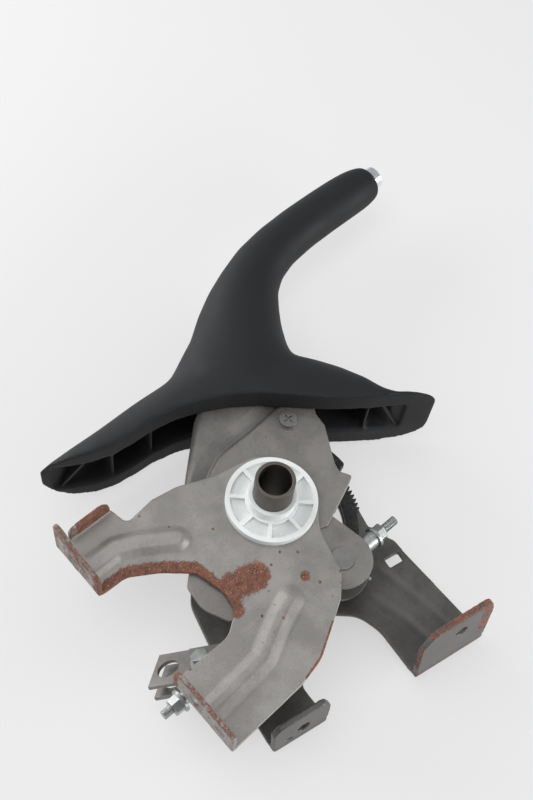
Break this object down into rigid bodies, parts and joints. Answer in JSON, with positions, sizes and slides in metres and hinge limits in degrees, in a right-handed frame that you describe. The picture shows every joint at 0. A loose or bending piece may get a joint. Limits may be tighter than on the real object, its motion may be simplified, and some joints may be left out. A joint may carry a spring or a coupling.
{
  "type": "parking brake lever",
  "caption": "Hand parking brake lever: moulded grip with release button, ratchet and pawl, stamped brackets with fixing feet, and an adjustable cable rod with a fork.",
  "frame": {"origin": "on the pivot axis, half way between the two lever cheeks", "axes": "+Z along the pivot tube, up as the part lies on its side in the picture; +X forward in the car, parallel to the tension rod; +Y up in the car"},
  "size_m": [0.384, 0.317, 0.0869],
  "materials": {
    "bracket_steel": "grey coated sheet steel, edges and bends rusted",
    "dark_steel": "dark grey sheet steel, cut edges rusted",
    "sector_steel": "hardened steel under dark grease",
    "nylon": "natural white nylon",
    "lever_steel": "grey stamped steel, scuffed",
    "tube_steel": "drawn steel, slightly rusted at the rim",
    "grip_plastic": "fine grained charcoal plastic",
    "zinc": "zinc plated",
    "chrome": "polished chrome",
    "spring_steel": "oiled wire"
  },
  "bodies": {
    "bracket": {"near_bracket": "bracket_steel", "far_bracket": "dark_steel", "ratchet_sector": "sector_steel", "sector_rivet_upper": "sector_steel", "sector_rivet_lower": "sector_steel", "bracket_tie": "dark_steel", "near_bush": "nylon", "far_bush": "nylon"},
    "lever": {"near_cheek": "lever_steel", "far_cheek": "lever_steel", "near_arm": "lever_steel", "far_arm": "lever_steel", "pivot_tube": "tube_steel", "handle_tube": "tube_steel", "stem_tube": "tube_steel", "grip": "grip_plastic", "cheek_screw": "zinc", "cheek_sleeve": "tube_steel", "pawl_pin": "tube_steel", "button_ferrule": "nylon", "spring_seat": "tube_steel"},
    "button": {"release_button": "chrome", "push_rod": "tube_steel", "release_wire": "spring_steel", "wire_tail": "spring_steel", "return_spring": "spring_steel"},
    "pawl": {"pawl": "sector_steel", "pawl_tail_pin": "tube_steel"},
    "trunnion": {"trunnion": "tube_steel", "trunnion_clip": "zinc", "tension_rod": "zinc", "rod_sleeve": "zinc", "adjuster_nut": "zinc", "yoke_block": "dark_steel", "yoke_spacer": "zinc", "end_nut": "zinc"},
    "yoke": {"near_strap": "lever_steel", "far_strap": "lever_steel", "yoke_bolt": "zinc", "yoke_nut": "zinc"}
  },
  "joints": [
    {"name": "lever_swing", "type": "hinge", "parent": "bracket", "child": "lever", "pos_m": [0, 0, 0], "axis": [0, 0, 1], "range_deg": [-28, 4]},
    {"name": "button_press", "type": "slide", "parent": "lever", "child": "button", "axis": [-1, 0, 0], "range_m": [0, 0.005], "stiffness_N_per_m": 700, "springref_m": -0.004, "deforming": ["return_spring", "release_wire", "wire_tail"]},
    {"name": "pawl_swing", "type": "hinge", "parent": "lever", "child": "pawl", "pos_m": [0.058, 0.032, -0.017], "axis": [0, 0, 1], "range_deg": [0, 13.5]},
    {"name": "trunnion_swivel", "type": "hinge", "parent": "lever", "child": "trunnion", "pos_m": [0.0108, -0.055, 0], "axis": [0, 0, 1], "range_deg": [-4.5, 28.5]},
    {"name": "yoke_swing", "type": "hinge", "parent": "trunnion", "child": "yoke", "pos_m": [-0.094, -0.04972, -0.00459], "axis": [0, 0.6561, 0.7547], "range_deg": [-20, 5]}
  ],
  "couplings": [
    {"joint": "pawl_swing", "follows": "button_press", "rad_per_m": 45.5},
    {"joint": "trunnion_swivel", "follows": "lever_swing", "ratio": -1}
  ]
}
